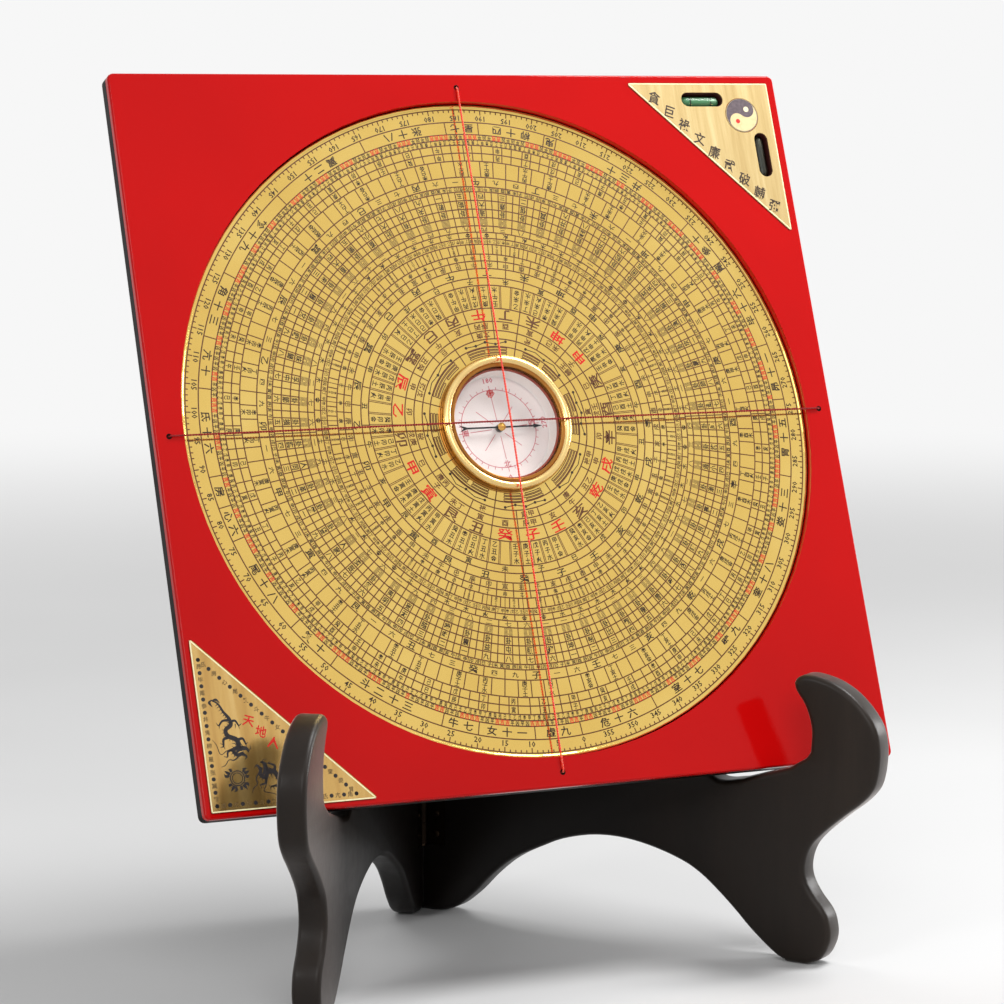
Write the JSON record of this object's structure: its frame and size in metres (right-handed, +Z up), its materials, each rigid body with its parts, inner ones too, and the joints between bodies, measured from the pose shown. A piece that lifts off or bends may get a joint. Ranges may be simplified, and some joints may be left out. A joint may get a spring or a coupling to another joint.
{
  "type": "chinese compass",
  "caption": "Square geomancer's compass: turning gold ring dial with a sealed needle capsule, crossed sighting threads and spirit levels, leaning on a folding wooden hook stand.",
  "frame": {"origin": "on the floor, under the middle of the whole object's box", "axes": "+Z up, the compass faces -Y and leans back towards +Y by 21.14 degrees, +X is the compass's right as seen by its user"},
  "size_m": [0.286, 0.1712, 0.3413],
  "materials": {
    "black_wood": "satin black painted fibreboard",
    "hinge_brass": "plated",
    "pin_steel": "satin",
    "red_lacquer": "gloss lacquer",
    "black_base": "satin",
    "brushed_brass": "brushed and lacquered",
    "enamel": "printed enamel",
    "vial_glass": "gloss, liquid filled",
    "red_thread": "twisted thread",
    "dial_gold": "gold printed sheet",
    "bakelite": "satin",
    "bezel_brass": "polished",
    "liner_brown": "satin",
    "card_white": "printed card",
    "clear_glass": "polished",
    "needle_black": "blackened"
  },
  "bodies": {
    "stand_right": {"stand_right_wing": "black_wood", "hinge_lower_leaf_right": "hinge_brass", "hinge_lower_pin": "pin_steel", "hinge_upper_leaf_right": "hinge_brass", "hinge_upper_pin": "pin_steel"},
    "stand_left": {"stand_left_wing": "black_wood", "hinge_lower_leaf_left": "hinge_brass", "hinge_upper_leaf_left": "hinge_brass"},
    "board": {"face_panel": "red_lacquer", "base_board": "black_base", "level_plate": "brushed_brass", "ornament_plate": "brushed_brass", "emblem_disc": "enamel", "vial_across": "vial_glass", "vial_upright": "vial_glass", "thread_across": "red_thread", "thread_upright": "red_thread"},
    "dial": {"dial_face": "dial_gold", "dial_carrier": "bakelite", "capsule_cup": "bezel_brass", "capsule_liner": "liner_brown", "capsule_card": "card_white", "capsule_glass": "clear_glass", "bezel_ring": "bezel_brass", "pivot_pin": "pin_steel"},
    "needle": {"needle_blade": "needle_black", "needle_cap": "bezel_brass"}
  },
  "joints": [
    {"name": "stand_fold", "type": "hinge", "parent": "stand_right", "child": "stand_left", "pos_m": [-0.0048, 0.0818, 0.1], "axis": [0, 0, -1], "range_deg": [-0.2, 0.8]},
    {"name": "compass_lift", "type": "slide", "parent": "stand_right", "child": "board", "axis": [0, 0.3607, 0.9327], "range_m": [0, 0.19]},
    {"name": "dial_turn", "type": "hinge", "parent": "board", "child": "dial", "pos_m": [0, 0.00775, 0.20818], "axis": [0, -0.9327, 0.3607], "continuous": true},
    {"name": "needle_turn", "type": "hinge", "parent": "dial", "child": "needle", "pos_m": [0, 0.00775, 0.20818], "axis": [0, -0.9327, 0.3607], "continuous": true}
  ]
}
